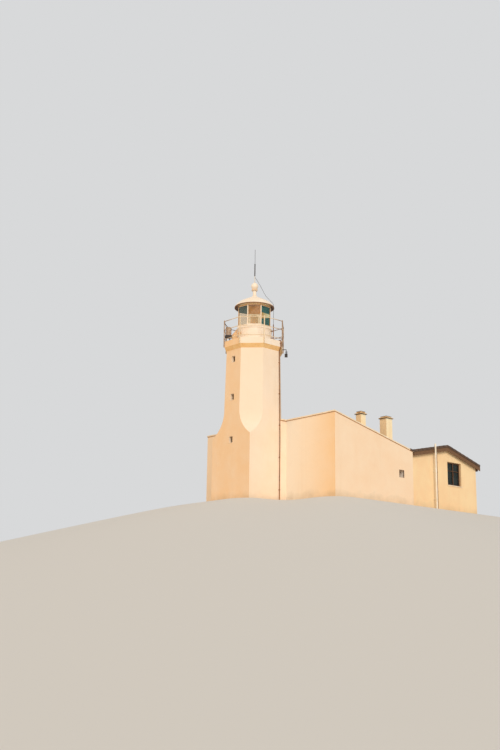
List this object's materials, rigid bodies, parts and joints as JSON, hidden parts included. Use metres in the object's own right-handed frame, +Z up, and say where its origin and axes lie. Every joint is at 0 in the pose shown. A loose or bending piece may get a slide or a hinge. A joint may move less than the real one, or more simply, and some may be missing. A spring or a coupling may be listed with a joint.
{
  "type": "small masonry lighthouse with a keeper's house",
  "caption": "Octagonal tapering masonry lighthouse on a square base, with a railed gallery, glazed lantern and domed roof, joined to a low keeper's house and gabled wing.",
  "frame": {"origin": "on the ground at the tower's axis, on the underside of the tower's floor", "axes": "+Z up the tower, -Y towards the sea, +X along the sea wall to the side with the chimneys"},
  "size_m": [9.48, 13.2381, 12.97],
  "materials": {
    "white_plaster": "lime-washed render, matt, stained",
    "coping_render": "smooth cement render, matt",
    "floor_concrete": "trowelled concrete, matt",
    "roof_tile": "brown clay interlocking tile, matt",
    "white_iron": "old cream-white paint with rust at joints",
    "rim_brown": "dark brown paint, satin",
    "ceiling_wood": "varnished boards, satin",
    "dark_iron": "black paint, weathered",
    "rusty_iron": "brown paint and rust, matt",
    "brown_wood": "brown painted boards, matt",
    "window_wood": "dark brown painted wood, satin",
    "door_wood": "green painted boards, satin",
    "clear_glass": "clear float glass, faintly green",
    "lens_glass": "ribbed clear glass",
    "lens_metal": "cream enamel, satin",
    "gutter_zinc": "dull zinc sheet",
    "white_pipe": "white plastic pipe, chalky"
  },
  "bodies": {
    "root": {"tower_seaward_wall": "white_plaster", "tower_side_walls": "white_plaster", "tower_back_wall": "white_plaster", "tower_door_piers": "white_plaster", "tower_front_corners": "white_plaster", "tower_rear_corners": "white_plaster", "tower_upper_corners": "white_plaster", "tower_floor": "floor_concrete", "cornice": "white_plaster", "gallery_slab": "white_plaster", "railing_panels": "white_iron", "railing_corner_rails": "white_iron", "lantern_drum": "white_iron", "gallery_door": "white_iron", "lantern_sill": "white_iron", "lantern_posts": "white_iron", "lantern_glass": "clear_glass", "lantern_frieze": "white_iron", "roof_rim": "rim_brown", "lantern_ceiling": "ceiling_wood", "lantern_roof": "white_iron", "ventilator_neck": "white_iron", "ventilator_ball": "white_iron", "lightning_rod": "dark_iron", "light_stand": "lens_metal", "light_lens": "lens_glass", "conductor_conduit": "rusty_iron", "conductor_cable": "dark_iron", "conduit_clips": "rusty_iron", "gallery_lamp_stand": "dark_iron", "gallery_lamp_glass": "clear_glass", "gallery_floodlight": "dark_iron", "gallery_locker": "white_plaster", "sea_walls": "white_plaster", "side_walls": "white_plaster", "main_back_walls": "white_plaster", "back_door_lintel": "white_plaster", "main_floor": "floor_concrete", "wing_floor": "floor_concrete", "sea_coping": "coping_render", "side_copings": "coping_render", "main_roof": "roof_tile", "chimneys": "white_plaster", "chimney_caps": "coping_render", "wing_gables": "white_plaster", "wing_back_wall": "white_plaster", "window_frames": "window_wood", "window_glass": "clear_glass", "wing_door": "door_wood", "wing_roof_front": "roof_tile", "wing_roof_back": "roof_tile", "wing_ridge": "roof_tile", "wing_roof_plate": "brown_wood", "valley_gutter": "gutter_zinc", "verge_boards": "brown_wood", "back_eave_board": "brown_wood", "vent_pipe": "white_pipe"}
  },
  "joints": []
}
